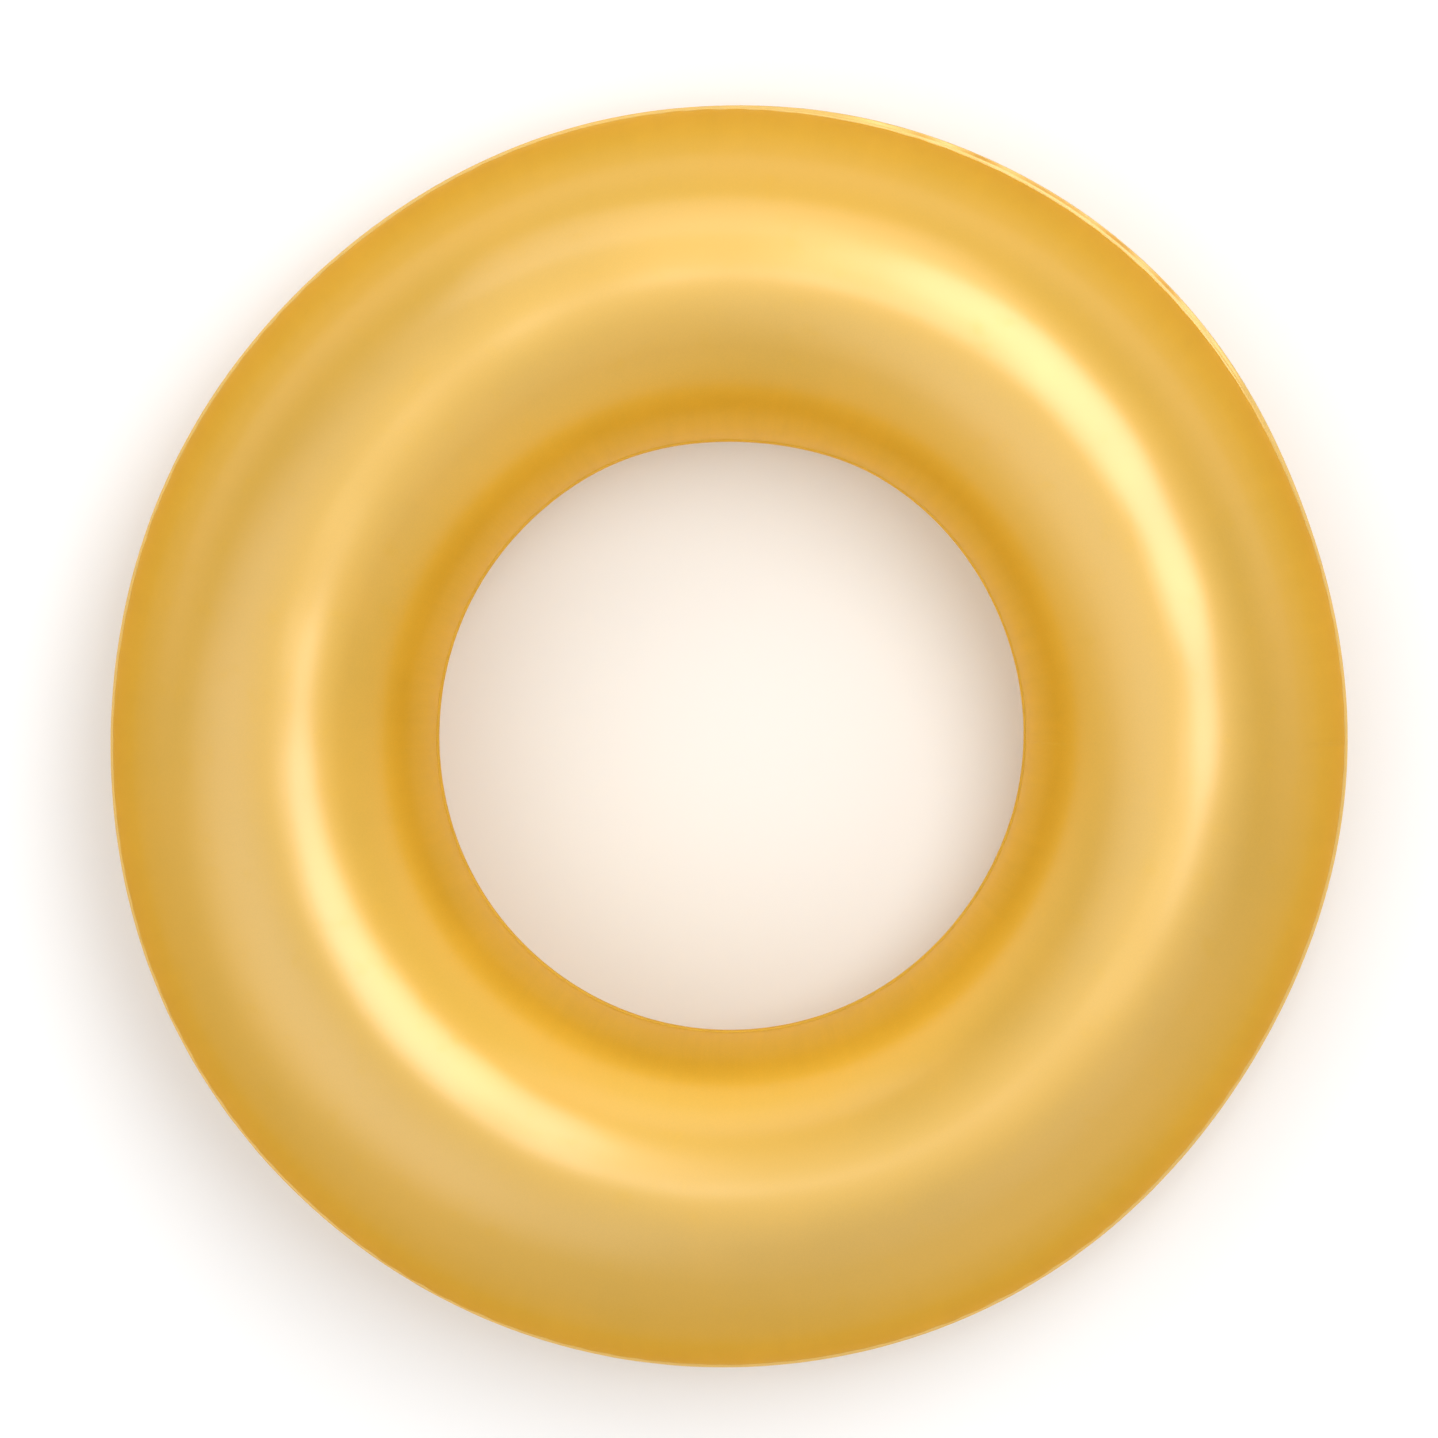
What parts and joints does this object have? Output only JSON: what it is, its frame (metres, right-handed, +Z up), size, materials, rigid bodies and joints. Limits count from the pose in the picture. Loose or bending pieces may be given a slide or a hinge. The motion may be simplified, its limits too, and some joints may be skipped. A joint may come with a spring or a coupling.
{
  "type": "inflatable swim ring",
  "caption": "Round inflatable swim ring of welded vinyl film with a sunk inflation valve, its stopper cap and a backflow flap.",
  "frame": {"origin": "centre of the ring, on the surface that it lies on", "axes": "+Z up through the hole, along the ring's axis; +Y towards the valve, which is in the lower film on the flank that faces the hole"},
  "size_m": [0.75, 0.75, 0.1938],
  "materials": {
    "gold_vinyl": "satin metallic gold, flexible vinyl film",
    "milky_vinyl": "soft translucent moulded vinyl"
  },
  "bodies": {
    "ring": {"top_sheet": "gold_vinyl", "bottom_sheet": "gold_vinyl", "valve_base": "milky_vinyl", "valve_diaphragm": "milky_vinyl"},
    "stem": {"valve_stem": "milky_vinyl", "flap_anchor": "milky_vinyl"},
    "flap": {"backflow_flap": "milky_vinyl"},
    "cap": {"stopper_cap": "milky_vinyl", "cap_strap": "milky_vinyl"}
  },
  "joints": [
    {"name": "stem_slide", "type": "slide", "parent": "ring", "child": "stem", "axis": [0, -0.7071, -0.7071], "range_m": [0, 0.013], "deforming": ["valve_diaphragm"]},
    {"name": "cap_hinge", "type": "hinge", "parent": "stem", "child": "cap", "pos_m": [0.0104, 0.2047, 0.02752], "axis": [0, -0.7071, 0.7071], "range_deg": [0, 150], "deforming": ["cap_strap"]},
    {"name": "flap_hinge", "type": "hinge", "parent": "stem", "child": "flap", "pos_m": [-0.0056, 0.2198, 0.04261], "axis": [0, -0.7071, 0.7071], "range_deg": [0, 50], "stiffness_Nm_per_rad": 0.0002}
  ]
}
